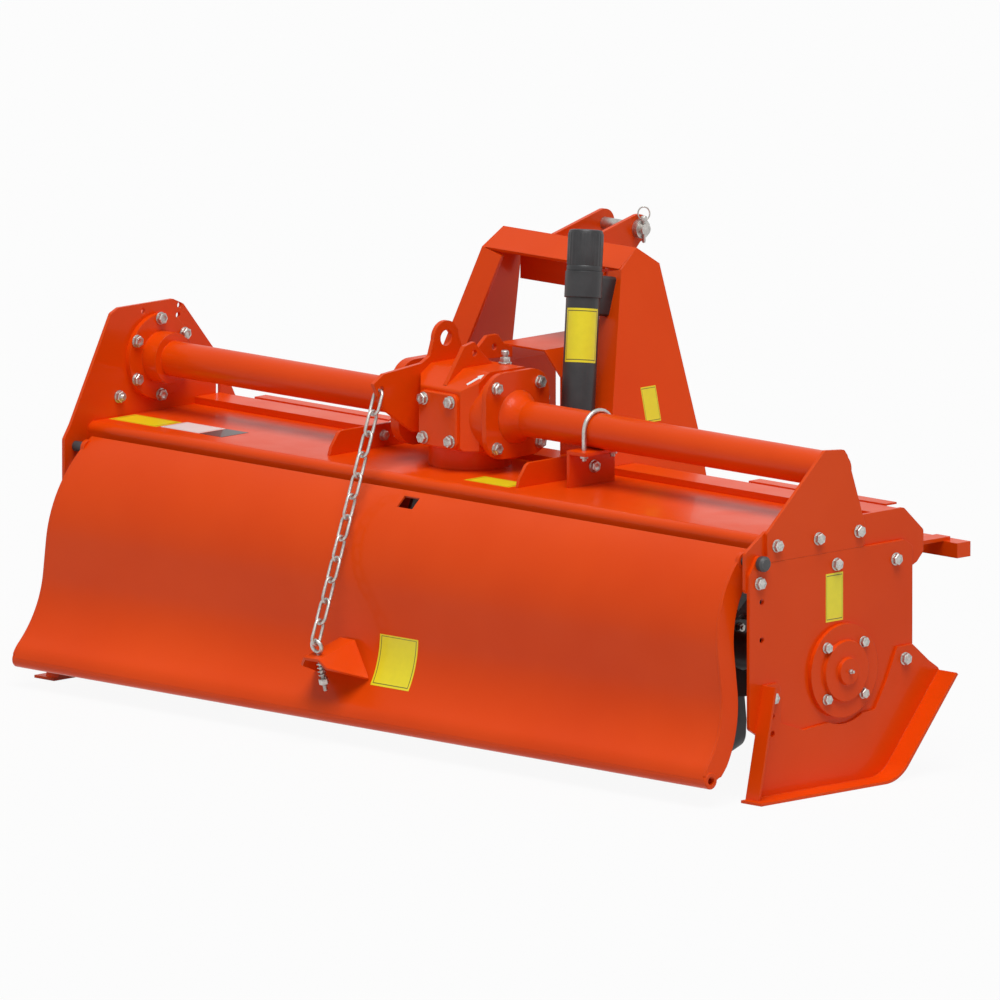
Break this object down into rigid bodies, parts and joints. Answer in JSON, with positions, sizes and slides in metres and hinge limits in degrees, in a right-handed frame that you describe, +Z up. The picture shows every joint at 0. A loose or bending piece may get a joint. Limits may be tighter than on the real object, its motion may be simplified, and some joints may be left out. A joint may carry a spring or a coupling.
{
  "type": "rotary tiller",
  "caption": "Tractor-mounted rotary tiller with a bladed rotor under a hood, side gear drive, sprung chain-held tailboard, skids and a three-point hitch mast.",
  "frame": {"origin": "on the ground under the middle of the machine, skids down", "axes": "+X to the right when facing forward, +Y in the direction of travel, +Z up"},
  "size_m": [2.188, 0.939, 1.0626],
  "materials": {
    "orange_paint": "gloss orange paint on steel",
    "galvanised_steel": "zinc-plated steel",
    "bright_steel": "machined steel",
    "black_steel": "black paint on forged steel",
    "black_plastic": "black moulded plastic"
  },
  "bodies": {
    "frame": {"beam_tube": "orange_paint", "canister": "black_plastic", "canister_bracket": "orange_paint", "canister_cap": "black_plastic", "case_cover": "orange_paint", "chain": "galvanised_steel", "drive_tube": "orange_paint", "end_plate_right": "orange_paint", "front_beam": "orange_paint", "front_guard_left": "orange_paint", "front_guard_right": "orange_paint", "gearbox": "orange_paint", "gearbox_cover": "orange_paint", "gearbox_lugs": "orange_paint", "guard_angles": "orange_paint", "hinge_pins": "galvanised_steel", "hitch_bracket_left": "orange_paint", "hitch_bracket_right": "orange_paint", "hitch_pin_left": "galvanised_steel", "hitch_pin_right": "galvanised_steel", "hood": "orange_paint", "hood_ribs": "orange_paint", "lifting_plate": "orange_paint", "mast": "orange_paint", "pto_shield": "orange_paint", "rotor_bearing": "orange_paint", "side_case": "orange_paint", "side_plate_left": "orange_paint", "side_plate_right": "orange_paint", "skid_left": "orange_paint", "skid_right": "orange_paint", "top_link_lugs": "orange_paint", "top_link_pin": "galvanised_steel", "tube_plate": "orange_paint", "tube_saddle": "orange_paint", "u_bolt": "galvanised_steel"},
    "rotor": {"rotor_tube": "black_steel", "rotor_flanges": "black_steel", "rotor_blades": "black_steel"},
    "input": {"pto_shaft": "bright_steel"},
    "board": {"tailboard": "orange_paint", "tailboard_end_left": "orange_paint", "tailboard_end_right": "orange_paint", "tailboard_lip": "orange_paint", "chain_bracket": "orange_paint", "chain_eye_bolt": "galvanised_steel"}
  },
  "joints": [
    {"name": "rotor_spin", "type": "hinge", "parent": "frame", "child": "rotor", "pos_m": [0, -0.01046, 0.246], "axis": [1, 0, 0], "continuous": true},
    {"name": "input_spin", "type": "hinge", "parent": "frame", "child": "input", "pos_m": [-0.071, 0.18954, 0.669], "axis": [0, 1, 0], "continuous": true},
    {"name": "tailboard_lift", "type": "hinge", "parent": "frame", "child": "board", "pos_m": [0, -0.25246, 0.503], "axis": [-1, 0, 0], "range_deg": [0, 45], "deforming": ["chain"]}
  ],
  "couplings": [
    {"joint": "input_spin", "follows": "rotor_spin", "ratio": 2.45}
  ]
}
